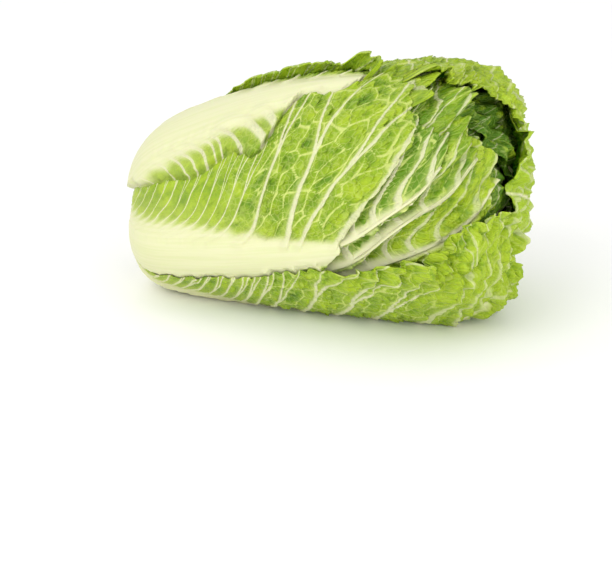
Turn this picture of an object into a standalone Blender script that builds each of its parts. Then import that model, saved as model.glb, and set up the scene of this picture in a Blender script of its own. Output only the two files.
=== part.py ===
"""Whole napa cabbage head, lying on its side with the cut stump towards -X and the leafy crown towards +X.

A head comes apart into a cone-shaped stump, twenty-four wrapped leaves and a heart bud. Every leaf is a
curved slab that lies in its own layer of the head, so the layers nest without touching. All layers are
scaled copies of the head's outline about one point inside the heart. Metres, +Z up, Blender 4.5.
"""

import math

import bpy
from mathutils import Matrix, Vector

# ---------------------------------------------------------------- driving dimensions
HEAD_LENGTH = 0.300
HEAD_RADIUS = 0.097
LEAF_COUNT = 24
LAYER_PITCH = 0.0350  # how much smaller each layer is than the one around it, as a share of the head
HEART_AT = 0.066  # how far the centre of all layers is from the stump's end
FLOOR_GIVE = 33.0e-3  # how much lower the axis is at the stump's end than at the belly
AXIS_TOP = 0.093  # height of the axis at the belly, a little under the radius, so that the head rests flat
BELLY_AT = 0.230

# The head's outline as (distance along the axis, radius), from where a leaf joins the stump to the crown.
OUTLINE = [
    (0.014, 0.020),
    (0.0015, 0.036),
    (0.009, 0.051),
    (0.024, 0.0615),
    (0.052, 0.0705),
    (0.090, 0.0795),
    (0.140, 0.0880),
    (0.190, 0.0945),
    (0.228, HEAD_RADIUS),
    (0.256, 0.0920),
    (0.276, 0.0795),
    (0.290, 0.0600),
    (0.298, 0.0360),
    (HEAD_LENGTH, 0.0120),
]
OUTLINE_STEPS = 12  # fine steps of the outline between two of its points

# Leaf sizes on the outermost layer. An inner leaf is smaller by its layer's scale.
STALK_HALF_WIDTH = 0.024
SHOULDER_HALF_WIDTH = 0.048
BLADE_HALF_WIDTH = 0.135
SHOULDER_AT = 0.055  # distances along the leaf from the stump
BLADE_FROM = 0.060
BLADE_FULL = 0.270
TIP_ROUNDING = 0.16
LAYER_FILL = 0.63  # the share of its layer's room that a leaf takes up, crumpled blade and rib alike
STUMP_GAP = 0.0010

GOLDEN_ANGLE = 137.5
SPIRAL_START = 200
OUTER_LEAVES = 12
OUTER_GRID = (16, 12)
INNER_GRID = (11, 10)

LEAF_GREEN = (0.42, 0.56, 0.10, 1.0)
HEART_YELLOW = (0.78, 0.76, 0.30, 1.0)
STUMP_CREAM = (0.80, 0.76, 0.52, 1.0)


# ---------------------------------------------------------------- the head's shape
def smooth_step(low, high, value):
    share = min(1.0, max(0.0, (value - low) / (high - low)))
    return share * share * (3.0 - 2.0 * share)


def through(before, start, end, after, share):
    """A point between start and end on the smooth curve that passes through all four."""
    return 0.5 * (
        2.0 * start
        + (end - before) * share
        + (2.0 * before - 5.0 * start + 4.0 * end - after) * share**2
        + (3.0 * start - before - 3.0 * end + after) * share**3
    )


def fine_outline():
    """The outline as closely spaced points, each with its distance along the curve."""
    points = [Vector(point) for point in OUTLINE]
    padded = [2 * points[0] - points[1], *points, 2 * points[-1] - points[-2]]
    line = []
    for four in zip(padded, padded[1:], padded[2:], padded[3:]):
        line += [through(*four, step / OUTLINE_STEPS) for step in range(OUTLINE_STEPS)]
    line.append(points[-1])
    along = [0.0]
    for start, end in zip(line, line[1:]):
        along.append(along[-1] + (end - start).length)
    return line, along


LINE, ALONG = fine_outline()
CURVE_LENGTH = ALONG[-1]


def outline_at(arc):
    """(distance along the axis, radius) at a distance along the outline."""
    arc = min(max(arc, 0.0), CURVE_LENGTH)
    index = next(i for i in range(1, len(ALONG)) if ALONG[i] >= arc)
    share = (arc - ALONG[index - 1]) / (ALONG[index] - ALONG[index - 1])
    return LINE[index - 1].lerp(LINE[index], share)


def axis_height(x):
    """The axis rises from the stump to the belly, because the belly is thicker and both rest on the floor."""
    short_of_belly = max(0.0, 1.0 - x / BELLY_AT)
    return AXIS_TOP - FLOOR_GIVE * short_of_belly**1.5


def head_point(arc, azimuth):
    """A point on the head's outside. Azimuth 0 faces -Y and 90 degrees is up. The underside is flat."""
    x, radius = outline_at(arc)
    height = axis_height(x)
    down = -math.sin(azimuth)
    if down > 0.0:
        radius = min(radius, height / down)
    return Vector((x, -radius * math.cos(azimuth), height + radius * math.sin(azimuth)))


HEART = Vector((HEART_AT, 0.0, axis_height(HEART_AT)))


def layer_point(arc, azimuth, scale):
    return HEART + scale * (head_point(arc, azimuth) - HEART)


# ---------------------------------------------------------------- pieces
def finish(piece, head, colour, roughness):
    material = bpy.data.materials.new(piece.name)
    material.use_nodes = True
    shader = material.node_tree.nodes["Principled BSDF"]
    shader.inputs["Base Color"].default_value = colour
    shader.inputs["Roughness"].default_value = roughness
    shader.inputs["Metallic"].default_value = 0.0
    piece.data.materials.append(material)
    piece.data.shade_smooth()
    piece.data.set_sharp_from_angle(angle=math.radians(50))
    for collection in list(piece.users_collection):
        collection.objects.unlink(piece)
    bpy.data.collections["napa_cabbage"].objects.link(piece)
    piece.parent = head


def half_width(arc):
    stalk = STALK_HALF_WIDTH + (SHOULDER_HALF_WIDTH - STALK_HALF_WIDTH) * smooth_step(0, SHOULDER_AT, arc)
    return stalk + (BLADE_HALF_WIDTH - SHOULDER_HALF_WIDTH) * smooth_step(BLADE_FROM, BLADE_FULL, arc)


def unit_slab(name, grid):
    """A flat slab, -0.5 to 0.5 along X and Y, and 0 down to -1 in Z, with rows x columns of faces."""
    rows, columns = grid
    bpy.ops.mesh.primitive_grid_add(x_subdivisions=rows, y_subdivisions=columns, size=1.0)
    slab = bpy.context.object
    slab.name = name
    thicken = slab.modifiers.new("thickness", "SOLIDIFY")
    thicken.thickness = 1.0
    thicken.offset = -1.0
    bpy.ops.object.modifier_apply(modifier=thicken.name)
    return slab


def leaf(head, name, layer, azimuth, lower, upper, reach, lean, grid):
    """One leaf in its layer. Lower and upper scale its two halves, which lie at falling and rising azimuth.

    Reach is the share of the outline that the leaf covers, and lean is the angle that its rib turns through.
    """
    slab = unit_slab(name, grid)
    outer_scale = 1.0 - LAYER_PITCH * layer
    length = reach * CURVE_LENGTH
    for vertex in slab.data.vertices:
        row = vertex.co.x + 0.5
        along = 0.6 * row + 0.4 * smooth_step(0.10, 0.60, row)  # closer rows at the base and on the crown
        across = 2.0 * vertex.co.y
        arc = length * along * (1.0 - TIP_ROUNDING * across**2 * along**3)
        side = upper if across > 0.0 else lower
        x, radius = outline_at(arc)
        depth = -vertex.co.z * LAYER_FILL * LAYER_PITCH
        turn = math.radians(lean) * (x / BELLY_AT) ** 2
        swing = math.radians(azimuth) + turn + across * side * half_width(arc) / radius
        vertex.co = layer_point(arc, swing, outer_scale - depth)
    base = layer_point(0.0, math.radians(azimuth), outer_scale)
    for vertex in slab.data.vertices:
        vertex.co -= base
    slab.location = base
    slab.data.update()
    paleness = layer / LEAF_COUNT
    colour = [green + (yellow - green) * paleness for green, yellow in zip(LEAF_GREEN, HEART_YELLOW)]
    finish(slab, head, colour, 0.5)
    return slab


def stump(head):
    """The cut stem: a turned cone inside the leaf bases, with a chamfered cut face at the end.

    It is turned about X and then sheared, so that it follows the rising axis as the leaf bases do.
    """
    join = Vector((OUTLINE[0][0], 0.0, axis_height(OUTLINE[0][0])))
    core_length = HEART.x - join.x
    radius = OUTLINE[0][1] - STUMP_GAP
    stick_out = 0.007
    chamfer = 0.0015
    tip = 0.84  # where the cone stops, short of the bud, as a share of the way to the heart
    profile = [
        (core_length * tip, 0.0),
        (core_length * tip, radius * (1.0 - tip)),
        (0.0, radius),
        (chamfer - stick_out, radius),
        (-stick_out, radius - chamfer),
        (-stick_out, 0.0),
    ]
    mesh = bpy.data.meshes.new("stump")
    mesh.from_pydata([(x, 0.0, r) for x, r in profile], [(i, i + 1) for i in range(len(profile) - 1)], [])
    piece = bpy.data.objects.new("stump", mesh)
    bpy.context.scene.collection.objects.link(piece)
    bpy.context.view_layer.objects.active = piece
    turned = piece.modifiers.new("turned", "SCREW")
    turned.axis = "X"
    turned.steps = 28
    turned.render_steps = 28
    turned.use_merge_vertices = True
    turned.merge_threshold = 0.00005
    bpy.ops.object.modifier_apply(modifier=turned.name)
    rise = (HEART.z - join.z) / core_length
    piece.data.transform(Matrix(((1, 0, 0, 0), (0, 1, 0, 0), (rise, 0, 1, 0), (0, 0, 0, 1))))
    piece.location = join
    finish(piece, head, STUMP_CREAM, 0.7)
    return piece


def heart_bud(head):
    """The unopened leaves at the very middle, a bud that fills the innermost leaf."""
    bpy.ops.mesh.primitive_uv_sphere_add(segments=20, ring_count=12, radius=1.0)
    bud = bpy.context.object
    bud.name = "heart_bud"
    half_length = 0.0190
    half_thickness = 0.0098
    for vertex in bud.data.vertices:
        x, y, z = vertex.co
        vertex.co = (z * half_length, y * half_thickness, x * half_thickness)
    bud.data.flip_normals()
    bud.location = HEART + Vector((0.0135, 0.0, 0.0018))
    finish(bud, head, HEART_YELLOW, 0.5)
    return bud


# Name, azimuth at the stump, width shares of the two halves, reach and lean, from the outside in.
NAMED_LEAVES = [
    ("outer_leaf_under", -84, 0.66, 0.72, 0.84, 6),
    ("outer_leaf_front", -26, 0.38, 0.95, 0.70, 14),
    ("outer_leaf_back", 152, 0.78, 0.80, 0.93, 8),
    ("outer_leaf_top", 66, 0.80, 0.70, 0.93, 12),
    ("rib_leaf_front", -32, 0.60, 0.80, 0.86, 42),
    ("rib_leaf_middle", -42, 0.65, 0.85, 0.90, 42),
    ("rib_leaf_low", -50, 0.75, 0.85, 0.94, 38),
]


def leaf_table():
    """Every leaf from the outside in: the named outer ones, then leaves that follow the golden angle."""
    table = [(name, *numbers, OUTER_GRID) for name, *numbers in NAMED_LEAVES]
    for layer in range(len(NAMED_LEAVES), LEAF_COUNT):
        outer = layer < OUTER_LEAVES
        name = f"wrapper_leaf_{layer + 1:02d}" if outer else f"heart_leaf_{layer + 1:02d}"
        azimuth = (SPIRAL_START + GOLDEN_ANGLE * (layer - len(NAMED_LEAVES))) % 360
        reach = 0.97 - 0.02 * (layer % 3)
        table.append((name, azimuth, 0.92, 0.92, reach, 10, OUTER_GRID if outer else INNER_GRID))
    return table


def corners(pieces):
    """Lowest and highest corner of these pieces, in the head's own coordinates."""
    points = [piece.matrix_basis @ vertex.co for piece in pieces for vertex in piece.data.vertices]
    low = Vector(min(point[axis] for point in points) for axis in range(3))
    high = Vector(max(point[axis] for point in points) for axis in range(3))
    return low, high


def build():
    for thing in list(bpy.data.objects):
        bpy.data.objects.remove(thing, do_unlink=True)
    collection = bpy.data.collections.new("napa_cabbage")
    bpy.context.scene.collection.children.link(collection)
    head = bpy.data.objects.new("head", None)
    collection.objects.link(head)
    leaves = [leaf(head, row[0], layer, *row[1:]) for layer, row in enumerate(leaf_table())]
    stump(head)
    heart_bud(head)
    low, high = corners(leaves)
    head.location = (-(low.x + high.x) / 2, -(low.y + high.y) / 2, -low.z)


build()
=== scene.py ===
"""Whole napa cabbage head on its side: the looks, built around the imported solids.

The leaves are made from the outside in, because each one is held in by the leaves around it.
"""

import math
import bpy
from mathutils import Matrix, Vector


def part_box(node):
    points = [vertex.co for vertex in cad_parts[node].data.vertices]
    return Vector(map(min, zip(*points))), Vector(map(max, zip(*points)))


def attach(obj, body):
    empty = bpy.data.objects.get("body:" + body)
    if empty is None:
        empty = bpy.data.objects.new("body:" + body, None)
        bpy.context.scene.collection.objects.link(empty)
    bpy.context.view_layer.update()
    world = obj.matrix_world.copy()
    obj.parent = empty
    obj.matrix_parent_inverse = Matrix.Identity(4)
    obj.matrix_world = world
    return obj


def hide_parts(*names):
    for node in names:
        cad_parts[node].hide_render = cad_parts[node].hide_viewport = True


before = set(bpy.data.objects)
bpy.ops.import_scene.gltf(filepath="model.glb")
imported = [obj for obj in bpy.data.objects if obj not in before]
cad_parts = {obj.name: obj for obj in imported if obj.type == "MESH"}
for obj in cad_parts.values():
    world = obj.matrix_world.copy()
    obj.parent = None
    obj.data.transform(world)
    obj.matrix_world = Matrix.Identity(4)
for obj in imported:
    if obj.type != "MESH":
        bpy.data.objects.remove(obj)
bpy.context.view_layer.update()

from types import SimpleNamespace

import bpy
import numpy as np
from mathutils import Vector


# ------------------------------------------------------------------ the leaf that the head lies on
# The lowest leaf: a broad blade pressed flat by the head's weight, whose frilled margin stands up along
# both sides. Like every leaf, it is a living sheet about a millimetre thick around a fleshy rib, grown on
# the stump. It is a flat grid, shaped, thickened with Solidify and finished in leaf tissue.

# The head's outline: (distance from the base, radius). A layer is this outline scaled about the heart.
OUTLINE = [
    (0.014, 0.020),
    (0.0015, 0.036),
    (0.009, 0.051),
    (0.024, 0.0615),
    (0.052, 0.0705),
    (0.090, 0.0795),
    (0.140, 0.0880),
    (0.190, 0.0945),
    (0.228, 0.0970),
    (0.256, 0.0920),
    (0.276, 0.0795),
    (0.290, 0.0600),
    (0.298, 0.0360),
    (0.300, 0.0120),
    (0.3005, 0.0),
]
LAYER_PITCH = 0.035  # how much smaller each layer's scale is than the one outside it
CROWN_DIP = 0.055  # how much smaller it is at the crown, where the tips are folded in
FOLDED_IN = (0.26, 0.36)  # where that dip begins and is full, by distance along the outline
HEART_AT = 0.066
BELLY_AT = 0.230
AXIS_TOP = 0.093
BASE_SINKS = 0.033
STUMP_STICKS_OUT = 0.007

stump_low, stump_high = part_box("stump")
AXIS_START = np.array([stump_low.x - STUMP_STICKS_OUT, (stump_low.y + stump_high.y) / 2, 0.0])


def smooth(low, high, value):
    """0 up to low, rising smoothly to 1 at high."""
    share = np.clip((value - low) / (high - low), 0.0, 1.0)
    return share * share * (3.0 - 2.0 * share)


def fine_outline():
    """The outline as closely spaced points, with each point's distance along the curve."""
    points = np.array(OUTLINE)
    padded = np.vstack([2 * points[0] - points[1], points, 2 * points[-1] - points[-2]])
    share = np.linspace(0.0, 1.0, 24, endpoint=False)[:, None]
    line = []
    for before, start, end, after in zip(padded, padded[1:], padded[2:], padded[3:]):
        bend = 2.0 * before - 5.0 * start + 4.0 * end - after
        twist = 3.0 * start - before - 3.0 * end + after
        line.append(start + 0.5 * ((end - before) * share + bend * share**2 + twist * share**3))
    line = np.vstack([*line, points[-1:]])
    along = np.concatenate([[0.0], np.cumsum(np.linalg.norm(np.diff(line, axis=0), axis=1))])
    return line, along


def axis_height(x):
    """Height of the head's axis: it comes down towards the narrow base, which rests on the floor too."""
    return AXIS_TOP - BASE_SINKS * np.maximum(0.0, 1.0 - x / BELLY_AT) ** 1.5


LINE, ALONG = fine_outline()
POLE = ALONG[-1]
HEART = np.array([HEART_AT, 0.0, float(axis_height(HEART_AT))])


def radius_at(arc):
    return np.interp(arc, ALONG, LINE[:, 1])


def on_head(arc, off):
    """Where a leaf's flat point lies on the head: wrapped round its sides, and straight over the crown."""
    to_pole = POLE - arc
    over = smooth(0.24, 0.37, arc)
    wrapped = off / np.maximum(radius_at(arc), 0.030)
    bowed = np.arctan2(off, to_pole)
    return arc + over * (POLE - np.hypot(to_pole, off) - arc), wrapped + over * (bowed - wrapped)


def place(arc, turn, scale):
    """World points at a distance along the outline and an angle round the head, on a layer.

    Angle 0 faces -Y and a quarter turn faces up. Below, the outline is cut off flat by the floor.
    """
    x = np.interp(arc, ALONG, LINE[:, 0])
    radius = radius_at(arc)
    height = axis_height(x)
    down = np.maximum(-np.sin(turn), 1e-6)
    radius = np.where(np.sin(turn) < 0.0, np.minimum(radius, height / down), radius)
    points = np.stack([x, -radius * np.cos(turn), height + radius * np.sin(turn)], axis=-1)
    return AXIS_START + HEART + scale[:, None] * (points - HEART)


def depth_table():
    """Distance from the heart square to the outline, which turns a height into a change of scale."""
    run = np.gradient(LINE, axis=0)
    square = np.stack([-run[:, 1], run[:, 0]], axis=1)
    square /= np.linalg.norm(square, axis=1)[:, None]
    depth = np.abs(((LINE - [HEART_AT, 0.0]) * square).sum(axis=1))
    return np.maximum(depth, 0.045)


DEPTH = depth_table()


def curve(points, where, rounding=0.010):
    """Reads a curve through (position, value) points, with its corners rounded."""
    positions, values = zip(*points)
    steps = np.linspace(-rounding, rounding, 9)
    return sum(np.interp(where + step, positions, values) for step in steps) / len(steps)


def ripple(x, y, seed):
    """Smooth random heights between -1 and 1, about one hump for each unit of x or y."""
    table = np.random.default_rng(seed).uniform(-1.0, 1.0, (64, 64))
    column, row = np.floor(x).astype(int), np.floor(y).astype(int)
    share_x, share_y = x - column, y - row
    share_x, share_y = share_x**2 * (3.0 - 2.0 * share_x), share_y**2 * (3.0 - 2.0 * share_y)

    def corner(i, j):
        return table[(column + i) % 64, (row + j) % 64]

    near = corner(0, 0) * (1.0 - share_x) + corner(1, 0) * share_x
    far = corner(0, 1) * (1.0 - share_x) + corner(1, 1) * share_x
    return near * (1.0 - share_y) + far * share_y


def cells(x, y, seed):
    """Irregular cells about one unit wide: how far a point is inside its cell, and a number for each cell."""
    rng = np.random.default_rng(seed)
    middle = rng.uniform(0.12, 0.88, (64, 64, 2))
    number = rng.uniform(0.0, 1.0, (64, 64))
    column, row = np.floor(x).astype(int), np.floor(y).astype(int)
    near = np.full(x.shape, 9.0)
    second = near.copy()
    owner = np.zeros(x.shape)
    for i in (-1, 0, 1):
        for j in (-1, 0, 1):
            spot = middle[(column + i) % 64, (row + j) % 64]
            gap = np.hypot(column + i + spot[:, 0] - x, row + j + spot[:, 1] - y)
            closer = gap < near
            second = np.where(closer, near, np.minimum(second, gap))
            owner = np.where(closer, number[(column + i) % 64, (row + j) % 64], owner)
            near = np.minimum(near, gap)
    return (second - near) / 2.0, owner


# How far out each place may still reach: a map over distance along the outline and angle round the head.
ROOM_STEP = 0.002
ROOM_TURNS = 270
STANDS_OUT = 0.012
EDGE_DIP = 0.035
SHEET_GAP = 0.0004
ROOM_ARC = np.arange(int(POLE / ROOM_STEP) + 3) * ROOM_STEP
ROOM_RADIUS = radius_at(ROOM_ARC)
ROOM_EDGE = 1.0 + STANDS_OUT / np.interp(ROOM_ARC, ALONG, DEPTH) - EDGE_DIP * smooth(*FOLDED_IN, ROOM_ARC)
room = np.tile(ROOM_EDGE[:, None], (1, ROOM_TURNS))

# A leaf also takes the room of so many angles beside it, where the head is thinner than a radius.
TAKEN_BESIDE = ((1, 1.0), (1, 0.08), (2, 0.05), (4, 0.03), (8, 0.018), (16, 0.009))


def room_spot(arc, turn):
    column = np.clip(arc / ROOM_STEP, 0, room.shape[0] - 1.001)
    row = (turn / math.tau * ROOM_TURNS) % ROOM_TURNS
    return column, row


def room_at(arc, turn):
    column, row = room_spot(arc, turn)
    i, j = column.astype(int), row.astype(int) % ROOM_TURNS
    share_i, share_j = column - i, row - row.astype(int)
    beside = (j + 1) % ROOM_TURNS
    near = room[i, j] * (1 - share_i) + room[i + 1, j] * share_i
    far = room[i, beside] * (1 - share_i) + room[i + 1, beside] * share_i
    return near * (1 - share_j) + far * share_j


def take_room(arc, turn, scale):
    """Lowers the room to this leaf's inner face, where the leaf is and one step beyond it."""
    column, row = room_spot(arc, turn)
    taken = np.full(room.shape, 9.0)
    np.minimum.at(taken, (np.round(column).astype(int), np.round(row).astype(int) % ROOM_TURNS), scale)
    spread = np.minimum(taken, np.minimum(np.roll(taken, 1, axis=0), np.roll(taken, -1, axis=0)))
    for turns, reach in TAKEN_BESIDE:
        wider = np.minimum(np.roll(spread, turns, axis=1), np.roll(spread, -turns, axis=1))
        spread[ROOM_RADIUS < reach] = np.minimum(spread, wider)[ROOM_RADIUS < reach]
    np.minimum(room, spread, out=room)


def leaf_grid(name, length, width, pitch):
    """A flat unit grid whose faces have about this pitch once it has its size, and less at the margins."""
    bpy.ops.object.select_all(action="DESELECT")
    bpy.ops.mesh.primitive_grid_add(
        x_subdivisions=round(length / pitch), y_subdivisions=round(width / pitch), size=2.0
    )
    piece = bpy.context.object
    piece.name = name
    flat = np.empty(len(piece.data.vertices) * 3)
    piece.data.vertices.foreach_get("co", flat)
    flat = flat.reshape(-1, 3)
    along = 1.0 - (0.5 - flat[:, 0] / 2.0) ** 1.2
    across = flat[:, 1] * (1.2 - 0.2 * flat[:, 1] ** 2)
    return piece, along, across, round(length / pitch) + 1


def soften(values, columns, times):
    """Evens out a value over the leaf's grid, so that folds and ruffles stay round."""
    grid = values.reshape(-1, columns)
    for _ in range(times):
        wide = np.pad(grid, 1, mode="edge")
        grid = (2.0 * grid + wide[:-2, 1:-1] + wide[2:, 1:-1] + wide[1:-1, :-2] + wide[1:-1, 2:]) / 6.0
    return grid.ravel()


def blade_shape(along, across, lower, upper, tip):
    """Where each point of the flat blade is, before anything bends it.

    arc is its distance along the rib, off its distance beside it, reach how far the blade goes there, and
    edge about how far the margin is. Its nearest margin faces along bearing, at round_margin along it.
    """
    end = curve(tip, across, 0.08)
    arc = along * end
    side = np.where(across < 0.0, -1.0, 1.0)
    reach = np.where(across < 0.0, curve(lower, arc), curve(upper, arc))
    off = np.abs(across) * reach
    inside = (1.0 - np.abs(across)) * reach
    before_end = (1.0 - along) * end
    edge = inside * before_end / (inside + before_end + 1e-9)
    centre = 0.62 * max(distance for _, distance in tip)
    bearing = np.arctan2(np.maximum(arc - centre, 0.0), off + 1e-6)
    round_margin = side * (centre - np.minimum(arc, centre) + 0.10 * (math.pi / 2.0 - bearing))
    return SimpleNamespace(
        arc=arc, side=side, reach=reach, off=off, edge=edge, bearing=bearing, round_margin=round_margin
    )


# Half widths of the rib and of a side vein, by distance along the rib.
RIB_WIDTH = [
    (0.0, 0.020), (0.03, 0.027), (0.08, 0.026), (0.14, 0.018), (0.20, 0.0085), (0.27, 0.0040), (0.36, 0.0012),
]
VEIN_WIDTH = [(0.0, 0.0007), (0.10, 0.0011), (0.18, 0.0021), (0.30, 0.0017)]

# Spacing of the side veins along the rib: a close comb at the base, and wide apart on the blade. Their
# lean towards the crown grows along the rib. A combed vein turns within VEIN_TURN of the rib, and on a
# leaf's thin side no vein is over THIN_SIDE of the usual width.
VEIN_SPACING = [(0.0, 0.008), (0.05, 0.009), (0.09, 0.012), (0.13, 0.020), (0.16, 0.029), (0.36, 0.032)]
VEIN_LEAN = [(0.0, 0.28), (0.13, 0.35), (0.16, 0.50), (0.20, 0.75), (0.25, 1.0)]
VEIN_TURN = 0.013
LEAST_SPACING = 0.004
THIN_SIDE = 0.6


def usual_veins(seed, length, apart, lean):
    """(where it starts along the rib, how much it leans to the crown, size) for each side vein of a leaf."""
    rng = np.random.default_rng(seed)
    veins, start = [(-0.05, 0.25, 1.0)], 0.0
    while start < length:
        veins.append((start, lean * float(curve(VEIN_LEAN, start)) * rng.uniform(0.92, 1.08), 1.0))
        start += apart * float(curve(VEIN_SPACING, start)) * rng.uniform(0.85, 1.15)
    return [*veins, (start, 1.2 * lean, 1.0), (start + 0.08, 1.4 * lean, 1.0)]


def side_veins(flat, half_rib, veins, seed, thick_side, thinned):
    """How near each point is to its side vein, and the vein's number, fork and width.

    Near the base a vein leaves along the rib and then turns square to it. Further on it heads for the
    crown, and forks before it ends. The blade starts beside the rib, and comes closer between the veins.
    """
    beside = np.maximum(flat.off - 0.75 * half_rib, 0.0)
    comb = 1.0 - smooth(0.09, 0.20, flat.arc)
    turning = np.exp(-beside / VEIN_TURN)
    wander = 0.0045 * ripple(flat.arc / 0.05, flat.off * flat.side / 0.04, seed + 1)
    wander += 0.0012 * ripple(flat.arc / 0.013, flat.off / 0.013, seed)
    start = flat.arc - comb * 0.030 * (1.0 - turning) + wander
    origins, leans, sizes = np.array(veins).T
    past = start - leans[:, None] * beside - origins[:, None]
    gap = np.maximum(past[:-1] - past[1:], LEAST_SPACING)
    count = np.clip(past[:-1] / gap, 0.0, 1.0).sum(axis=0)
    lane = np.minimum(count.astype(int), len(gap) - 1)
    spacing = gap[lane, np.arange(len(lane))]
    slant = np.sqrt(1.0 + (comb * 2.3 * turning + leans[lane]) ** 2)
    count += 0.5 * (flat.side < 0.0)
    number = np.round(count)
    luck = ripple(number * 1.7 + 0.3, flat.side * 5.5, seed + 2)
    outwards = beside / (flat.reach + 1e-6)
    fork = 0.55 * np.maximum(outwards - 0.52 - 0.25 * luck, 0.0)
    distance = np.abs(np.abs(count - number) - fork) * spacing / slant
    size = sizes[np.clip(number.astype(int), 0, len(sizes) - 1)]
    half = (1.0 + 0.25 * luck) * curve(VEIN_WIDTH, flat.arc)
    half *= 1.2 - 0.85 * np.minimum(outwards, 1.0)
    half *= np.where(flat.side == thick_side, size, np.minimum(size, THIN_SIDE)) * thinned
    web = flat.off + 0.008 * comb * (np.minimum(2.2 * distance / spacing, 1.0) - 0.6)
    return SimpleNamespace(
        start=start, beside=beside, comb=comb, count=count, fork=fork, half=half, near=distance / half,
        share=half * slant / spacing, blade=smooth(0.85 * half_rib, 1.25 * half_rib + 0.0015, web),
    )


def vein_net(flat, vein, seed):
    """The net of finer veins, a number for each of its meshes, and how the blade puffs out of them."""
    warp_x, warp_y = [0.35 * ripple(flat.arc / 0.017, flat.off / 0.017, seed + extra) for extra in (3, 4)]
    along, beside = vein.start - 0.5 * vein.beside, flat.side * vein.beside
    net, number = cells(along / 0.0165 + warp_x, beside / 0.0175 + warp_y, seed + 5)
    small, _ = cells(along / 0.0062 + warp_y, beside / 0.0066 + warp_x, seed + 25)
    return net, number, small, smooth(0.0, 0.30, net) * smooth(0.9, 3.2, vein.near)


def crumples(flat, seed):
    """Folds and puffed lumps of a crumpled blade, each between 0 and about 1."""
    across = flat.off * flat.side
    bend_x, bend_y = [0.6 * ripple(flat.arc / 0.011, across / 0.011, seed + extra) for extra in (11, 26)]
    folds = np.abs(ripple(flat.arc / 0.018 + bend_x, across / 0.018 + bend_y, seed + 10))
    lump, number = cells(flat.arc / 0.0092 + bend_x, across / 0.0084 + bend_y, seed + 27)
    return folds, (1.0 - (1.0 - np.clip(lump / 0.40, 0.0, 1.0)) ** 2) * (0.5 + 0.5 * number)


# The ruffles' long and short waves along the margin, and how far in from the margin it ruffles and curls.
WAVE, WAVELET = 0.019, 0.0085
RUFFLED_BAND = 0.034
CURLED_BAND = 0.030
CURL_RADIUS = 0.0095


def ruffled_margin(flat, free, ruffle, ragged, curl, seed):
    """A ragged, ruffled and curled margin: its ruffles, its curl's height, and its moves in and along."""
    band = 1.0 - smooth(0.0, RUFFLED_BAND, flat.edge)
    narrow = 1.0 - smooth(0.0, 0.013, flat.edge)
    margin, nothing = flat.round_margin, flat.round_margin * 0.0
    phase = math.tau * margin / WAVE + 2.2 * ripple(margin / 0.03, flat.edge / 0.05, seed + 12)
    quick = math.tau * margin / WAVELET + 2.0 * ripple(margin / 0.016, flat.edge / 0.02, seed + 13)
    lift = ruffle * band * (0.35 + 0.35 * np.sin(phase)) + 0.22 * ruffle * narrow * np.sin(quick)
    lobes = 1.0 - 2.0 * np.abs(ripple(margin / 0.009, nothing, seed + 14))
    teeth = 1.0 - 2.0 * np.abs(ripple(margin / 0.0036, nothing, seed + 15))
    inward = free * (1.0 - smooth(0.0, 0.012, flat.edge)) * ragged * (0.0022 * lobes + 0.0007 * teeth)
    loops = np.minimum(ruffle / 0.008, 1.0)
    sway = 0.30 * WAVE * band * np.sin(2.0 * phase) + 0.25 * WAVELET * narrow * np.sin(2.0 * quick)
    sway *= -loops / math.tau
    rolls = curl * smooth(-0.35, 0.45, ripple(margin / 0.075, nothing, seed + 16))
    rolled = np.maximum(CURLED_BAND - flat.edge, 0.0) * rolls * free * smooth(0.10, 0.24, flat.arc)
    inward += rolled - CURL_RADIUS * np.sin(rolled / CURL_RADIUS)
    return lift, CURL_RADIUS * (1.0 - np.cos(rolled / CURL_RADIUS)), inward, sway


# How high each kind of relief stands on the outer face.
MESH_PUFF = 0.0024
SMALL_PUFF = 0.0016
WRINKLE = 0.0016
GRAIN = 0.00045
SWELL = 0.0018
NET_LINE = 0.0005
RIB_STREAK = 0.00010
FOLD = 0.0080
LUMP = 0.0044
TUFT_LUMP = 0.0050

# Thickness of the blade, what the rib and the side veins add to it, and all three together, which is
# given in so many levels. No point of the head is over HIGHEST.
BLADE_THICK = 0.0008
RIB_THICK = 0.0035
VEIN_THICK = 0.0009
THICKEST = 0.0052
LEVELS = 16
HIGHEST = 0.1955


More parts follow.
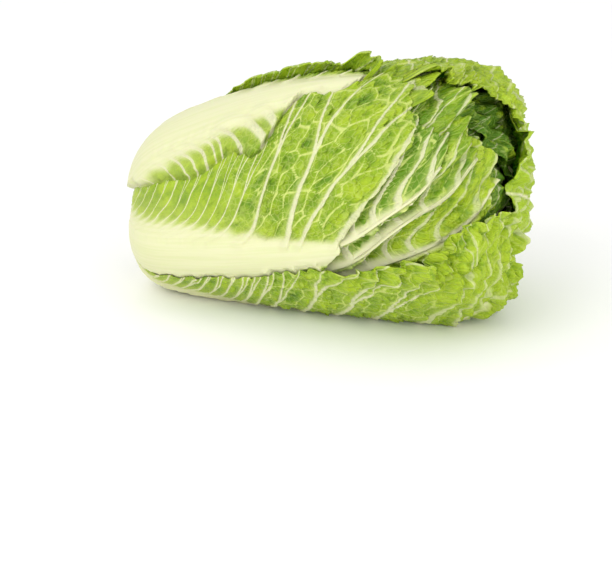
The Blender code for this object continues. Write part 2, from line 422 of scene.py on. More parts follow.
def leaf(
    node,
    slot,
    layer,
    rib,
    lower,
    upper,
    tip,
    seed,
    pitch=0.0016,
    rib_width=1.0,
    rib_height=0.0035,
    frill=0.008,
    frill_low=0.16,
    curl=0.6,
    ragged=1.0,
    crumple=1.0,
    press=0.85,
    veins=None,
    veins_apart=1.0,
    veins_lean=1.0,
    thick_side=1.0,
    hollow=0.0,
    shoulder=0.0,
    flare=0.0,
    darker=0.0,
    tuft=(0.0, 0.0, 0.01, 0.0),
):
    """One leaf in its layer. Distances are along the outline from the stump, and widths are from the rib.

    rib is (distance, angle) points, lower and upper are (distance, width) points for the sides at falling
    and rising angle, and tip is (share of the width, distance) points for where the blade ends.

    frill is the height of the ruffles, and frill_low their share at the base. curl and ragged shape the
    margin, and crumple the crown. press brings the tip out towards the outermost layer. veins lists the
    side veins. Without it they are the usual ones, with spacing and lean scaled by veins_apart and
    veins_lean. thick_side is the side where they keep their full width. hollow is a dip beside the rib,
    shoulder a rise over the base half, flare a lower margin that stands out, and tuft a bulge: (distance,
    width, radius, height). The deeper-green setting deepens the blade's green all over and thins its side
    veins at the crown. It is painted shade on leaves that lie in shade, together with the own dark green of
    the wrapper leaves' tips, and it is painted light where it is below 0.
    """
    most = max(distance for _, distance in tip)
    width = max(value for _, value in lower) + max(value for _, value in upper)
    piece, along, across, columns = leaf_grid(node + "_leaf", most, width, pitch)
    flat = blade_shape(along, across, lower, upper, tip)
    arc, side, off, reach = flat.arc, flat.side, flat.off, flat.reach
    crown = smooth(0.235, 0.325, arc)
    wide_enough = smooth(0.004, 0.012, reach)

    half_rib = rib_width * curve(RIB_WIDTH, arc)
    veins = veins or usual_veins(seed, most + 0.06, veins_apart, veins_lean)
    # The side veins are thinner at the crown where painted shade deepens the green, and wider where painted
    # light lightens it.
    vein = side_veins(flat, half_rib, veins, seed, thick_side, 1.0 - 0.6 * darker * crown)
    blade = vein.blade
    net, mesh_number, small, puff = vein_net(flat, vein, seed)

    # Heights of the outer face: the puffed blade, the side veins, the net, and the rib with its streaks.
    fine = ripple(arc / 0.0040, off * side / 0.0040, seed + 6)
    finer = ripple(arc / 0.0020, off * side / 0.0020, seed + 7)
    broad = ripple(arc / 0.045, off * side / 0.045, seed + 8)
    relief = blade * (0.25 + 0.75 * smooth(0.06, 0.17, arc)) * (
        puff * (MESH_PUFF * (mesh_number - 0.60) + SMALL_PUFF * smooth(0.0, 0.3, small) + WRINKLE * fine)
        + GRAIN * finer
        + SWELL * broad
    )
    ridge = 1.0 - smooth(0.15, 1.7, vein.near)
    off_rib = smooth(0.35 * half_rib, 0.85 * half_rib, off)
    relief += ridge * off_rib * vein.half * (0.8 + 0.5 * vein.comb) * wide_enough
    relief += blade * NET_LINE * (1.0 - smooth(0.0, 0.10, net))
    rib_crown = 1.0 - smooth(0.15, 1.35, off / half_rib)
    relief += rib_height * rib_crown * curve([(0.0, 0.6), (0.06, 1.0), (0.22, 0.7), (0.36, 0.25)], arc)
    relief += RIB_STREAK * ripple(arc / 0.06, off * side / 0.0045, seed + 9) * (1.0 - blade)
    beside_rib = smooth(0.0, 0.006, vein.beside) * (1.0 - smooth(0.010, 0.030, vein.beside))
    relief -= hollow * beside_rib * (side > 0.0)
    relief += shoulder * smooth(0.0, 0.03, arc) * (1.0 - smooth(0.12, 0.24, arc))
    tuft_arc, tuft_off, tuft_radius, tuft_height = tuft
    from_tuft = np.hypot(arc - tuft_arc, side * off - tuft_off) / tuft_radius
    in_tuft = np.exp(-(from_tuft**2)) * (tuft_height > 0.0)
    relief += tuft_height * in_tuft

    # Crumples at the crown and along the margin, and the margin's ruffles and curl.
    free = smooth(0.008, 0.035, reach)
    band = 1.0 - smooth(0.0, RUFFLED_BAND, flat.edge)
    crumpled = blade * np.minimum(crown + 0.7 * (1.0 - crown) * band * smooth(0.12, 0.24, arc), 1.0)
    flared = smooth(0.09, 0.11, arc) * (1.0 - smooth(0.24, 0.29, arc)) * (side < 0.0) * (flare > 0.0)
    crumpled = np.maximum(crumpled * wide_enough, 0.8 * flared * band * blade)
    savoyed = crumpled * min(crumple, 1.0)
    folds, lumps = crumples(flat, seed)
    grown = frill_low + (1.0 - frill_low) * smooth(0.16, 0.29, arc)
    ruffle = frill * free * grown * smooth(0.02, 0.10, arc)
    lift, roll, inward, sway = ruffled_margin(flat, free, ruffle, ragged, curl, seed)
    relief += soften(crumple * crumpled * (FOLD * folds - 0.0030) + lift, columns, 4)
    relief += soften((LUMP * savoyed + TUFT_LUMP * in_tuft) * lumps, columns, 2)
    relief += flare * flared * (1.0 - smooth(0.001, 0.011, flat.edge)) + roll
    inward, sway = soften(inward, columns, 1), soften(sway, columns, 2)
    arc_moved = np.maximum(arc - inward * np.sin(flat.bearing) - side * sway * np.cos(flat.bearing), 0.0)
    off_moved = np.maximum(off - inward * np.cos(flat.bearing) + side * sway * np.sin(flat.bearing), 0.0)

    # Round the head, in the leaf's layer, and no further out than the leaves around it leave room for.
    head_arc, head_turn = on_head(arc_moved, off_moved)
    turn = np.radians(curve(rib, arc_moved)) + side * head_turn
    depth = np.interp(head_arc, ALONG, DEPTH)
    thick = BLADE_THICK + RIB_THICK * rib_crown * curve([(0.0, 1.0), (0.20, 0.6), (0.36, 0.1)], arc)
    thick += VEIN_THICK * (1.0 - smooth(0.3, 1.3, vein.near)) * blade
    pressed_out = press * smooth(0.25, 0.33, head_arc)
    scale = 1.0 - LAYER_PITCH * layer * (1.0 - pressed_out) - CROWN_DIP * smooth(*FOLDED_IN, head_arc)
    limit = room_at(head_arc, turn) - SHEET_GAP / depth
    scale = np.minimum(scale + relief / depth, np.minimum(limit, soften(limit, columns, 5)))
    take_room(head_arc, turn, scale - thick / depth)
    points = place(head_arc, turn, scale)
    points[:, 2] = np.maximum(points[:, 2], SHEET_GAP)
    piece.data.vertices.foreach_set("co", points.ravel())

    # What the finish reads: the leaf's own flat coordinates, and how near each point is to its veins.
    flat_points = np.stack([arc, off * side], axis=1)
    corners = np.empty(len(piece.data.loops), int)
    piece.data.loops.foreach_get("vertex_index", corners)
    piece.data.uv_layers[0].name = "leaf"
    piece.data.uv_layers[0].data.foreach_set("uv", flat_points[corners].ravel())
    green = curve([(0.0, 0.10), (0.05, 0.30), (0.10, 0.55), (0.17, 0.94), (0.24, 1.0)], arc)
    green = green * (1.0 - 0.6 * vein.comb * (1.0 - smooth(0.0, 0.018, vein.beside)))
    green = blade * (green + (1.0 - green) * 0.8 * smooth(0.008, 0.040, vein.beside))
    # Painted light and shade for the blade's colour, kept in the puff attribute: lighter where the meshes
    # puff out and on the tops of lumps and folds, a deeper green in the creases between them, and a deeper
    # green all over on leaves painted with shade.
    puff_shading_smooth = puff * (mesh_number - 0.5) * 2.0 + 0.5 * fine
    puff_shading_crumpled = 3.6 * lumps + 1.2 * folds - 0.6
    for name, values in {
        "count": vein.count,
        "fork": vein.fork,
        "vein_size": vein.share,
        "net": net + 1.0 - smooth(0.08, 0.15, arc),
        "blade": blade,
        "green": green,
        "puff": (1.0 - savoyed) * puff_shading_smooth + savoyed * puff_shading_crumpled - 2.8 * darker,
        "crumpled": savoyed,
    }.items():
        attribute = piece.data.attributes.new(name, "FLOAT", "POINT")
        attribute.data.foreach_set("value", values.astype(np.float32))

    # Thickness: the grid is the outer face, and the rib and veins are thicker than the blade.
    group = piece.vertex_groups.new(name="thickness")
    for level in range(1, LEVELS + 1):
        chosen = np.flatnonzero(np.round(thick / THICKEST * LEVELS).astype(int) == level)
        if len(chosen):
            group.add(chosen.tolist(), level / LEVELS, "REPLACE")
    solidify = piece.modifiers.new("thickness", "SOLIDIFY")
    solidify.thickness = THICKEST
    solidify.offset = -1.0
    solidify.vertex_group = "thickness"
    solidify.thickness_vertex_group = 0.0
    bpy.context.view_layer.objects.active = piece
    bpy.ops.object.modifier_apply(modifier=solidify.name)
    points = np.empty(len(piece.data.vertices) * 3)
    piece.data.vertices.foreach_get("co", points)
    points[2::3] = np.clip(points[2::3], 0.0001, HIGHEST)
    piece.data.vertices.foreach_set("co", points)
    piece.data.shade_smooth()
    piece.data.materials.append(tissue[slot])
    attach(piece, "root")
    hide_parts(node)


# Leaf tissue: a cream rib and side veins, and a green blade that puffs out between a net of pale fine
# veins. One node group reads all of it from what each leaf carries, and a material gives it its colours.
def add(tree, kind, inputs=None, **settings):
    made = tree.nodes.new("ShaderNode" + kind)
    for name, value in settings.items():
        setattr(made, name, value)
    for socket, value in (inputs or {}).items():
        if isinstance(value, bpy.types.NodeSocket):
            tree.links.new(value, made.inputs[socket])
        else:
            made.inputs[socket].default_value = value
    return made


def remap(tree, value, low, high, at_low, at_high, **settings):
    return add(tree, "MapRange", {0: value, 1: low, 2: high, 3: at_low, 4: at_high}, **settings).outputs[0]


def mask(tree, value, low, high):
    """1 where value is at or under low, falling smoothly to 0 at high."""
    return remap(tree, value, low, high, 1.0, 0.0, interpolation_type="SMOOTHSTEP")


def math_of(tree, operation, first, second=0.0):
    return add(tree, "Math", {0: first, 1: second}, operation=operation).outputs[0]


def blend(tree, share, first, second):
    return add(tree, "Mix", {0: share, 6: first, 7: second}, data_type="RGBA").outputs[2]


def noise(tree, where, scale, **inputs):
    return add(tree, "TexNoise", {"Vector": where, "Scale": scale, **inputs}).outputs[0]


def cell_edges(tree, where, scale):
    """Distance to the edge of irregular cells, in cells."""
    found = add(tree, "TexVoronoi", {"Vector": where, "Scale": scale}, feature="DISTANCE_TO_EDGE")
    return found.outputs[0]


def leaf_tissue_group():
    """Colour, roughness and fine relief of a leaf, from its attributes."""
    tree = bpy.data.node_groups.new("leaf_tissue", "ShaderNodeTree")
    for name in ("Dark", "Light", "Pale", "Vein", "Rib"):
        tree.interface.new_socket(name, in_out="INPUT", socket_type="NodeSocketColor")
    tree.interface.new_socket("Colour", in_out="OUTPUT", socket_type="NodeSocketColor")
    tree.interface.new_socket("Roughness", in_out="OUTPUT", socket_type="NodeSocketFloat")
    tree.interface.new_socket("Height", in_out="OUTPUT", socket_type="NodeSocketFloat")
    given = tree.nodes.new("NodeGroupInput").outputs
    result = tree.nodes.new("NodeGroupOutput").inputs

    def attribute(name):
        return add(tree, "Attribute", attribute_name=name).outputs["Fac"]

    def times(first, second):
        return math_of(tree, "MULTIPLY", first, second)

    def plus(first, second):
        return math_of(tree, "ADD", first, second)

    def minus(first, second):
        return math_of(tree, "SUBTRACT", first, second)

    # How near the side vein is, in half widths of the vein, and how smooth the blade lies.
    count, fork, vein_size = [attribute(name) for name in ("count", "fork", "vein_size")]
    net, blade, green, puff = [attribute(name) for name in ("net", "blade", "green", "puff")]
    flatness = remap(tree, attribute("crumpled"), 0.0, 0.8, 1.0, 0.35)
    between = math_of(tree, "ABSOLUTE", minus(math_of(tree, "FRACT", plus(count, 0.5)), 0.5))
    vein = math_of(tree, "DIVIDE", math_of(tree, "ABSOLUTE", minus(between, fork)), vein_size)

    # Patterns: soft patches over the whole head, and fine meshes on the leaf's own flat coordinates.
    body = add(tree, "TexCoord").outputs["Object"]
    mottle = noise(tree, body, 95.0, Detail=4.0, Roughness=0.6)
    cloud = noise(tree, body, 22.0, Detail=2.0)
    flat = add(tree, "UVMap", uv_map="leaf").outputs[0]
    shift = add(tree, "TexNoise", {"Vector": flat, "Scale": 160.0, "Detail": 1.0}).outputs[1]
    bent = add(tree, "VectorMath", {0: shift, 3: 0.0022}, operation="SCALE").outputs[0]
    warped = add(tree, "VectorMath", {0: flat, 1: bent}, operation="ADD").outputs[0]
    mesh = cell_edges(tree, warped, 230.0)
    tiny = cell_edges(tree, warped, 620.0)

    # The blade: deeper and lighter green in random patches, with painted light on the puffed meshes and
    # lumps, painted shade in the creases and on leaves that lie in shade, and fine pale lines.
    patch = plus(times(puff, 0.28), plus(mottle, times(cloud, 0.5)))
    colour = blend(tree, remap(tree, patch, 0.45, 1.10, 0.0, 1.0), given["Dark"], given["Light"])
    mesh_lines = times(mask(tree, mesh, 0.02, 0.12), minus(1.0, mask(tree, net, 0.75, 0.4)))
    net_lines = mask(tree, net, 0.012, 0.055)
    vein_halo = mask(tree, vein, 0.9, 3.4)
    for line, share in ((mesh_lines, 0.28), (net_lines, 0.95), (vein_halo, 0.30)):
        colour = blend(tree, times(times(line, share), flatness), colour, given["Vein"])
    colour = blend(tree, green, given["Pale"], colour)
    vein_line = times(times(mask(tree, vein, 0.55, 1.25), 0.92), math_of(tree, "POWER", flatness, 0.7))
    colour = blend(tree, vein_line, colour, given["Rib"])

    # The rib: cream with faint green streaks along it.
    stretched = add(tree, "Mapping", {"Vector": flat, "Scale": (14.0, 420.0, 1.0)}).outputs[0]
    streak = noise(tree, stretched, 1.0, Detail=3.0)
    rib = blend(tree, times(mask(tree, streak, 0.36, 0.60), 0.16), given["Rib"], given["Pale"])
    tree.links.new(blend(tree, blade, rib, colour), result["Colour"])
    tree.links.new(plus(times(mottle, 0.25), 0.33), result["Roughness"])

    # Blisters in the meshes of the blade, and shallow grooves along the rib.
    blisters = plus(plus(mask(tree, mesh, 0.22, 0.0), times(mask(tree, tiny, 0.2, 0.0), 0.4)), mottle)
    blisters = times(blisters, times(remap(tree, flatness, 1.0, 0.35, 1.0, 2.5), blade))
    grooves = times(times(streak, minus(1.0, blade)), 0.35)
    tree.links.new(plus(blisters, grooves), result["Height"])


def leaf_material(name, dark, light, pale, vein, rib):
    material = bpy.data.materials.new(name)
    material.use_nodes = True
    tree = material.node_tree
    shader = tree.nodes["Principled BSDF"]
    tissue_node = tree.nodes.new("ShaderNodeGroup")
    tissue_node.node_tree = bpy.data.node_groups["leaf_tissue"]
    for socket, colour in zip(("Dark", "Light", "Pale", "Vein", "Rib"), (dark, light, pale, vein, rib)):
        tissue_node.inputs[socket].default_value = (*colour, 1.0)
    bump = add(tree, "Bump", {"Height": tissue_node.outputs["Height"], "Strength": 0.55, "Distance": 0.0007})
    tree.links.new(tissue_node.outputs["Colour"], shader.inputs["Base Color"])
    tree.links.new(tissue_node.outputs["Roughness"], shader.inputs["Roughness"])
    tree.links.new(bump.outputs[0], shader.inputs["Normal"])
    shader.inputs["Subsurface Weight"].default_value = 0.12
    shader.inputs["Subsurface Radius"].default_value = (0.6, 1.0, 0.25)
    shader.inputs["Subsurface Scale"].default_value = 0.003
    shader.inputs["Specular IOR Level"].default_value = 0.35
    return material


leaf_tissue_group()
RIB_CREAM = (0.73, 0.73, 0.45)
tissue = {
    "outer_leaf": leaf_material(
        "outer_leaf_tissue",
        dark=(0.12, 0.26, 0.002),
        light=(0.37, 0.52, 0.012),
        pale=(0.51, 0.61, 0.11),
        vein=(0.62, 0.71, 0.19),
        rib=RIB_CREAM,
    ),
}

# Width of a usual leaf on one side of its rib, by distance along the rib.
WING = [
    (0.0, 0.020), (0.05, 0.046), (0.10, 0.056), (0.16, 0.080), (0.22, 0.105), (0.28, 0.125), (0.36, 0.125),
]


def wing(share):
    return [(distance, width * share) for distance, width in WING]


leaf(
    "outer_leaf_under", "outer_leaf", 0,
    rib=[(0.0, -84), (0.20, -82), (0.27, -75), (0.31, -62), (0.35, -42), (0.39, -20)],
    lower=wing(0.75),
    upper=[
        (0.0, 0.020), (0.05, 0.042), (0.10, 0.062), (0.16, 0.084), (0.20, 0.097), (0.225, 0.104),
        (0.25, 0.108), (0.272, 0.111), (0.285, 0.113), (0.31, 0.107), (0.33, 0.090), (0.345, 0.066),
        (0.37, 0.036),
    ],
    tip=[(-1.0, 0.290), (-0.5, 0.340), (0.0, 0.365), (0.5, 0.366), (1.0, 0.352)],
    seed=11, pitch=0.00135, curl=0.3, frill=0.010, crumple=1.6, tuft=(0.318, 0.068, 0.026, 0.008),
)

# ------------------------------------------------------------------ front leaf
# The leaf that covers the middle of the near side. Its rib runs low along the head, and its upper half
# is a wide blade with a few strong side veins that fan upwards. It ends at the last of them.
leaf(
    "outer_leaf_front", "outer_leaf", 0.5,
    rib=[(0.0, -26), (0.05, -24), (0.12, -20), (0.18, -16), (0.222, -12), (0.26, -8.5)],
    lower=[(0.0, 0.020), (0.05, 0.038), (0.12, 0.038), (0.18, 0.024), (0.22, 0.012), (0.30, 0.006)],
    upper=[
        (0.0, 0.020), (0.02, 0.038), (0.04, 0.054), (0.064, 0.060), (0.083, 0.062), (0.100, 0.066),
        (0.112, 0.075), (0.122, 0.083), (0.135, 0.078), (0.146, 0.074), (0.150, 0.080), (0.155, 0.104),
        (0.164, 0.132), (0.180, 0.128), (0.193, 0.121), (0.203, 0.135), (0.217, 0.141), (0.230, 0.148),
        (0.240, 0.138), (0.270, 0.132),
    ],
    tip=[
        (-1.0, 0.197), (0.0, 0.207), (0.14, 0.219), (0.25, 0.232), (0.36, 0.241), (0.62, 0.265),
        (0.78, 0.253), (1.0, 0.241),
    ],
    seed=23, pitch=0.00105, frill=0.003, curl=0.1, crumple=0.4, ragged=0.8,
    veins=[
        (-0.05, 0.25, 0.3), (0.0, 0.25, 0.3), (0.009, 0.25, 0.4), (0.017, 0.25, 0.3), (0.025, 0.25, 0.4),
        (0.033, 0.25, 0.3), (0.041, 0.25, 0.4), (0.049, 0.25, 0.3), (0.057, 0.25, 0.4), (0.066, 0.25, 0.3),
        (0.075, 0.25, 0.4), (0.085, 0.25, 0.3), (0.096, 0.25, 0.4), (0.108, 0.25, 0.5), (0.129, 0.25, 1.0),
        (0.166, 0.28, 1.1), (0.178, 0.66, 1.0), (0.2085, 0.67, 1.2), (0.243, 0.85, 1.0), (0.300, 1.0, 1.0),
    ],
)

# ------------------------------------------------------------------ back leaf
# The leaf on the far side, with a broad blade on both sides of its rib. From the near side only its
# frilled margin shows, above the head's top line, and its tip, which folds over the top of the crown.
ROUND_TIP = [(-1.0, 0.84), (-0.7, 0.92), (-0.35, 0.98), (0.0, 1.0), (0.35, 0.98), (0.7, 0.92), (1.0, 0.84)]


def round_tip(distance):
    return [(share, distance * part) for share, part in ROUND_TIP]


leaf(
    "outer_leaf_back", "outer_leaf", 0.8,
    rib=[(0.0, 150), (0.20, 150), (0.25, 140), (0.285, 127), (0.32, 112), (0.36, 98)],
    lower=[
        (0.0, 0.022), (0.05, 0.045), (0.095, 0.066), (0.105, 0.084), (0.142, 0.092), (0.188, 0.102),
        (0.222, 0.124), (0.25, 0.124), (0.265, 0.120), (0.285, 0.116), (0.30, 0.103), (0.32, 0.090),
        (0.34, 0.066), (0.37, 0.040),
    ],
    upper=wing(0.95), tip=round_tip(0.350), seed=37, curl=0.0, frill=0.005, frill_low=0.75, crumple=1.3,
    ragged=1.1, flare=0.010,
)

# ------------------------------------------------------------------ top leaf
# The leaf along the top, with the broadest rib: a smooth cream band that narrows towards the crown, with
# strong side veins on the near side. Its blade goes under the front leaf and the back leaf.
leaf(
    "outer_leaf_top", "outer_leaf", 1.1,
    rib=[(0.0, 65), (0.10, 69), (0.20, 74), (0.33, 78)],
    lower=[(0.0, 0.030), (0.02, 0.050), (0.05, 0.082), (0.10, 0.100), (0.16, 0.110), (0.30, 0.110)],
    upper=wing(0.86), tip=round_tip(0.263), seed=41, rib_width=1.12, curl=0.2, shoulder=0.006,
    thick_side=-1.0,
    veins=[
        (-0.05, 0.10, 0.2), (0.0, 0.10, 0.2), (0.020, 0.10, 0.3), (0.038, 0.10, 0.4), (0.054, 0.10, 0.6),
        (0.0595, 0.10, 0.7), (0.069, 0.10, 0.8), (0.079, 0.10, 0.9), (0.0865, 0.10, 0.6), (0.092, 0.15, 0.7),
        (0.0985, 1.0, 1.1), (0.1235, 0.58, 1.8), (0.145, 0.32, 1.4), (0.165, 0.60, 1.0), (0.190, 0.70, 1.0),
        (0.220, 0.80, 1.0), (0.260, 1.0, 1.0), (0.340, 1.2, 1.0),
    ],
)

# ------------------------------------------------------------------ leaves with fanned ribs
# Below the front leaf the ribs of three more leaves fan out towards the crown, and bend up at their ends.
# The lower half of each blade is only a narrow strip, so every rib stands over a dark gap, and the upper
# half goes under the leaf above it. The upper two have their green deepened with painted shade, for the
# shade that the leaf above casts on them.
RIB_RISES = 0.0042
LOWER_STRIP = [(0.0, 0.018), (0.10, 0.026), (0.18, 0.010), (0.21, 0.0050), (0.32, 0.0035)]

# This leaf and the next one get a deeper green: painted shade from the leaf above.
leaf(
    "rib_leaf_front", "outer_leaf", 1.5,
    rib=[
        (0.0, -34), (0.10, -29), (0.17, -19), (0.2225, -7), (0.249, 4.5), (0.267, 11.5), (0.282, 21),
        (0.292, 36), (0.31, 50),
    ],
    lower=LOWER_STRIP,
    upper=wing(0.76),
    tip=[(-1.0, 0.262), (0.0, 0.286), (0.15, 0.292), (0.42, 0.280), (0.62, 0.269), (1.0, 0.256)],
    seed=53, pitch=0.0013, frill=0.003, curl=0.1, crumple=0.25, rib_width=0.42, rib_height=RIB_RISES,
    veins_apart=0.55, veins_lean=0.45, hollow=0.003, darker=0.6,
)
leaf(
    "rib_leaf_middle", "outer_leaf", 2.5,
    rib=[
        (0.0, -46), (0.10, -41), (0.17, -34), (0.226, -19.5), (0.254, -5), (0.280, 7.5), (0.295, 13),
        (0.308, 25), (0.318, 42), (0.34, 56),
    ],
    lower=LOWER_STRIP,
    upper=[
        (0.0, 0.020), (0.10, 0.050), (0.20, 0.092), (0.25, 0.118), (0.28, 0.122), (0.30, 0.106),
        (0.33, 0.096),
    ],
    tip=[(-1.0, 0.290), (0.0, 0.316), (0.3, 0.307), (0.6, 0.300), (0.8, 0.300), (1.0, 0.296)],
    seed=59, pitch=0.0013, frill=0.007, curl=0.3, crumple=0.6, rib_width=0.42, rib_height=RIB_RISES,
    veins_apart=0.7, veins_lean=0.5, hollow=0.005, darker=0.4, tuft=(0.302, 0.086, 0.016, 0.012),
)
leaf(
    "rib_leaf_low", "outer_leaf", 3.3,
    rib=[
        (0.0, -54), (0.10, -50), (0.17, -42), (0.2235, -29), (0.239, -25), (0.269, -16), (0.293, -7.5),
        (0.315, 2), (0.330, 14), (0.345, 32),
    ],
    lower=[(0.0, 0.018), (0.10, 0.034), (0.18, 0.020), (0.22, 0.012), (0.32, 0.010)],
    upper=wing(0.80), tip=[(-1.0, 0.335), (0.0, 0.345), (0.3, 0.335), (0.5, 0.325), (1.0, 0.310)],
    seed=67, pitch=0.0013, frill=0.005, curl=0.3, crumple=0.8, rib_width=0.52, rib_height=RIB_RISES,
    veins_apart=0.7, veins_lean=0.6, hollow=0.005,
)

# ------------------------------------------------------------------ wrapper leaves
# The next ring of nested leaves, grown in a spiral. The first one folds right over the crown from the
# far side, and its frilled margin faces the near side, its green lightened with painted light. The tips of
# the others fill the recess behind it, crumpled and dark green: partly their own deep green, and partly
# painted shade of the recess.
GOLDEN_ANGLE = 137.5
SPIRAL_START = 200
NAMED_LEAVES = 7
FIRST_HEART_LEAF = 12
ALL_LEAVES = 24
TUCKED_IN = [(0.0, 0.022), (0.05, 0.050), (0.10, 0.060), (0.20, 0.100)]

# Their deepest green is deeper than the outer leaves'. This is partly the tips' own colour, and partly
# painted shade for the recess.
tissue["wrapper_leaf"] = leaf_material(
    "wrapper_leaf_tissue",
    dark=(0.08, 0.20, 0.001),
    light=(0.38, 0.55, 0.012),
    pale=(0.52, 0.62, 0.11),
    vein=(0.58, 0.70, 0.16),
    rib=RIB_CREAM,
)
# Its green is lightened all over by a negative setting: painted light.
leaf(
    "wrapper_leaf_08", "wrapper_leaf", NAMED_LEAVES,
    rib=[(0.0, SPIRAL_START), (0.50, SPIRAL_START)],
    lower=[*TUCKED_IN, (0.30, 0.120), (0.40, 0.122), (0.50, 0.110)],
    upper=[*TUCKED_IN, (0.30, 0.130), (0.40, 0.140), (0.50, 0.130)],
    tip=[
        (-1.0, 0.405), (-0.61, 0.414), (-0.34, 0.416), (-0.17, 0.445), (0.0, 0.446), (0.12, 0.445),
        (0.3, 0.430), (1.0, 0.405),
    ],
    seed=156, frill=0.010, curl=0.4, crumple=1.7, press=0.97, rib_width=0.12, darker=-0.3,
)


def inner_leaf(slot, layer, **looks):
    """A leaf of the spiral, a golden angle on from the leaf outside it."""
    azimuth = (SPIRAL_START + GOLDEN_ANGLE * (layer - NAMED_LEAVES)) % 360
    leaf(
        f"{slot}_{layer + 1:02d}", slot, layer,
        rib=[(0.0, azimuth), (0.20, azimuth + 5), (0.36, azimuth + 14)],
        lower=wing(1.0), upper=wing(1.0), tip=round_tip(0.405 - 0.012 * (layer % 3)), seed=100 + 7 * layer,
        frill=0.010, **looks,
    )


# Their green is deepened all over: partly the tips' own dark green, and partly painted shade of the recess
# they lie in.
for layer in range(NAMED_LEAVES + 1, FIRST_HEART_LEAF):
    inner_leaf("wrapper_leaf", layer, pitch=0.0018, curl=0.4, crumple=1.8, press=0.80, darker=1.0)

# ------------------------------------------------------------------ heart leaves
# The small pale leaves round the heart, the same shape at a smaller size, and softer. No light reaches
# them as they grow, so they stay yellow. They hardly show, and are coarser sheets than the leaves outside.
tissue["heart_leaf"] = leaf_material(
    "heart_leaf_tissue",
    dark=(0.45, 0.52, 0.06),
    light=(0.76, 0.76, 0.22),
    pale=(0.80, 0.80, 0.34),
    vein=(0.82, 0.82, 0.40),
    rib=(0.86, 0.86, 0.56),
)
for layer in range(FIRST_HEART_LEAF, ALL_LEAVES):
    inner_leaf("heart_leaf", layer, pitch=0.0042, curl=0.5, press=0.3)

# ------------------------------------------------------------------ heart bud
# The unopened leaves in the very middle, packed so tightly that they are one smooth yellow bud. It grows
# at the end of the stump.
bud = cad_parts["heart_bud"]
bud_paint = bpy.data.materials.new("heart_bud_tissue")
bud_paint.use_nodes = True
tree = bud_paint.node_tree
body = add(tree, "TexCoord").outputs["Object"]
fold = noise(tree, body, 130.0, Detail=4.0, Distortion=1.5)
seam = cell_edges(tree, body, 210.0)
colour = blend(tree, fold, (0.62, 0.60, 0.10, 1.0), (0.85, 0.80, 0.34, 1.0))
colour = blend(tree, mask(tree, seam, 0.02, 0.09), colour, (0.90, 0.88, 0.55, 1.0))
height = math_of(tree, "ADD", fold, math_of(tree, "MULTIPLY", seam, 1.5))
bump = add(tree, "Bump", {"Height": height, "Strength": 0.8, "Distance": 0.0012})
shader = tree.nodes["Principled BSDF"]
rough = math_of(tree, "ADD", math_of(tree, "MULTIPLY", fold, 0.3), 0.5)
tree.links.new(colour, shader.inputs["Base Color"])
tree.links.new(rough, shader.inputs["Roughness"])
tree.links.new(bump.outputs[0], shader.inputs["Normal"])
bud.data.materials.clear()
bud.data.materials.append(bud_paint)

# ------------------------------------------------------------------ stump
# The short solid stem inside the leaf bases, cut straight across with a knife. The cut is cream with a
# ring of fibre bundles and dries brown at its skin. It is a grid turned into a cone, its seam welded.
CUT_PROFILE = [  # distance from the cut, radius
    (0.0016, 0.0), (0.0011, 0.006), (0.0005, 0.0105), (0.0008, 0.0125), (0.0002, 0.0150), (0.0004, 0.0176),
    (0.0015, 0.0189), (0.0070, 0.0190), (0.0400, 0.0062), (0.0490, 0.0030), (0.0505, 0.0),
]
KNIFE_MARKS = 0.0005
bpy.ops.object.select_all(action="DESELECT")
bpy.ops.mesh.primitive_grid_add(x_subdivisions=90, y_subdivisions=128, size=2.0)
stump = bpy.context.object
stump.name = "stump_core"
flat = np.empty(len(stump.data.vertices) * 3)
stump.data.vertices.foreach_get("co", flat)
flat = flat.reshape(-1, 3)
profile = np.array(CUT_PROFILE)
run = np.concatenate([[0.0], np.cumsum(np.linalg.norm(np.diff(profile, axis=0), axis=1))])
spot = (0.5 + flat[:, 0] / 2.0) ** 1.3 * run[-1]
from_cut, radius = np.interp(spot, run, profile[:, 0]), np.interp(spot, run, profile[:, 1])
angle = (flat[:, 1] + 1.0) * math.pi
on_cut = 1.0 - smooth(0.0012, 0.0035, from_cut)
uneven = 0.04 * ripple(3.0 + 1.4 * np.cos(angle), 3.0 + 1.4 * np.sin(angle), 7)
radius *= 1.0 + uneven * smooth(0.004, 0.018, radius)
across_cut, up_cut = radius * np.cos(angle), radius * np.sin(angle)
marks = 1.0 + ripple(across_cut / 0.0022 + 20.0, up_cut / 0.0022 + 20.0, 8)
from_cut = from_cut + KNIFE_MARKS * on_cut * marks
join = LINE[0, 0]
rise = (HEART[2] - axis_height(join)) / (HEART_AT - join)
height = axis_height(join) + rise * (from_cut - STUMP_STICKS_OUT)
points = np.stack([stump_low.x + from_cut, AXIS_START[1] - across_cut, height + up_cut], axis=1)
stump.data.vertices.foreach_set("co", points.ravel())
for name, values in {"ring": radius / profile[:, 1].max(), "cut": on_cut}.items():
    stump.data.attributes.new(name, "FLOAT", "POINT").data.foreach_set("value", values.astype(np.float32))
bpy.ops.object.mode_set(mode="EDIT")
bpy.ops.mesh.select_all(action="SELECT")
bpy.ops.mesh.remove_doubles(threshold=0.00001)
bpy.ops.mesh.normals_make_consistent(inside=False)
bpy.ops.object.mode_set(mode="OBJECT")
stump.data.shade_smooth()

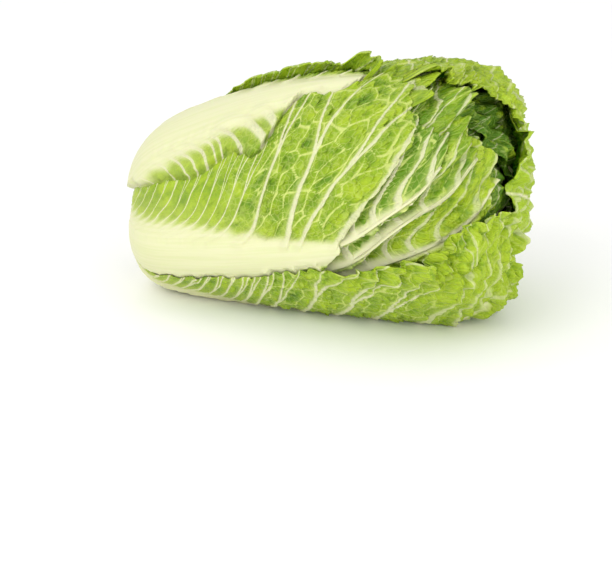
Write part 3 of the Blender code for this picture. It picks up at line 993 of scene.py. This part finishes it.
stump_paint = bpy.data.materials.new("stump_tissue")
stump_paint.use_nodes = True
tree = stump_paint.node_tree
body = add(tree, "TexCoord").outputs["Object"]
patch = noise(tree, body, 160.0, Detail=5.0, Roughness=0.65)
fibre = add(tree, "TexVoronoi", {"Vector": body, "Scale": 620.0}, feature="F1").outputs[0]
ring = add(tree, "Attribute", attribute_name="ring").outputs["Fac"]
cut = add(tree, "Attribute", attribute_name="cut").outputs["Fac"]
uneven = math_of(tree, "MULTIPLY", math_of(tree, "SUBTRACT", patch, 0.5), 0.22)
wavy = math_of(tree, "ADD", ring, uneven)
bundles = math_of(tree, "ABSOLUTE", math_of(tree, "SUBTRACT", wavy, 0.66))
fibre_ends = math_of(tree, "MULTIPLY", mask(tree, fibre, 0.12, 0.32), 0.45)
colour = blend(tree, patch, (0.80, 0.72, 0.42, 1.0), (0.66, 0.55, 0.27, 1.0))
colour = blend(tree, mask(tree, bundles, 0.02, 0.12), colour, (0.55, 0.52, 0.20, 1.0))
colour = blend(tree, fibre_ends, colour, (0.40, 0.28, 0.10, 1.0))
colour = blend(tree, mask(tree, wavy, 1.0, 0.82), colour, (0.30, 0.17, 0.06, 1.0))
skin = blend(tree, patch, (0.72, 0.72, 0.42, 1.0), (0.60, 0.62, 0.26, 1.0))
colour = blend(tree, cut, skin, colour)
height = math_of(tree, "ADD", patch, math_of(tree, "MULTIPLY", fibre, 0.7))
bump = add(tree, "Bump", {"Height": height, "Strength": 0.9, "Distance": 0.0006})
rough = math_of(tree, "ADD", math_of(tree, "MULTIPLY", patch, 0.3), 0.5)
shader = tree.nodes["Principled BSDF"]
tree.links.new(colour, shader.inputs["Base Color"])
tree.links.new(rough, shader.inputs["Roughness"])
tree.links.new(bump.outputs[0], shader.inputs["Normal"])
stump.data.materials.append(stump_paint)
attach(stump, "root")
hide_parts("stump")

# ------------------------------------------------------------------ floor, light and camera
# A plain pale studio: a white floor and sky, a soft light above the near side and a larger one low on
# the right. The camera looks down a little on the near side, from slightly to the right.
bpy.ops.mesh.primitive_plane_add(size=8.0)
floor = bpy.context.object
floor.name = "floor"
paint = bpy.data.materials.new("floor")
paint.use_nodes = True
paint.node_tree.nodes["Principled BSDF"].inputs["Base Color"].default_value = (0.95, 0.95, 0.94, 1.0)
paint.node_tree.nodes["Principled BSDF"].inputs["Roughness"].default_value = 0.9
floor.data.materials.append(paint)

world = bpy.data.worlds.new("studio")
world.use_nodes = True
world.node_tree.nodes["Background"].inputs["Color"].default_value = (1.0, 1.0, 1.0, 1.0)
world.node_tree.nodes["Background"].inputs["Strength"].default_value = 1.0
bpy.context.scene.world = world

LIT_POINT = Vector((0.0, 0.0, 0.08))


def softbox(name, place, size, power):
    bpy.ops.object.light_add(type="AREA", location=place)
    lamp = bpy.context.object
    lamp.name = name
    lamp.data.size = size
    lamp.data.energy = power
    lamp.rotation_euler = (LIT_POINT - Vector(place)).to_track_quat("-Z", "Y").to_euler()


softbox("key", (-0.45, -1.25, 1.3), 0.9, 7.0)
softbox("fill", (1.2, -1.3, 0.40), 1.2, 10.0)

AZIMUTH, ELEVATION = math.radians(15.0), math.radians(20.0)
DISTANCE = 1.7
VIEW_WIDTH = 0.44982
SENSOR_WIDTH = 36.0
level = Vector((math.sin(AZIMUTH), -math.cos(AZIMUTH), 0.0))
back = level * math.cos(ELEVATION) + Vector((0.0, 0.0, math.sin(ELEVATION)))
aim = Vector((-0.0086, -0.0290, 0.0191))
camera = bpy.data.objects.new("camera", bpy.data.cameras.new("camera"))
bpy.context.scene.collection.objects.link(camera)
camera.data.sensor_width = SENSOR_WIDTH
camera.data.lens = SENSOR_WIDTH * DISTANCE / VIEW_WIDTH
camera.location = aim + back * DISTANCE
camera.rotation_euler = back.to_track_quat("Z", "Y").to_euler()
bpy.context.scene.camera = camera
bpy.context.scene.view_settings.view_transform = "Standard"
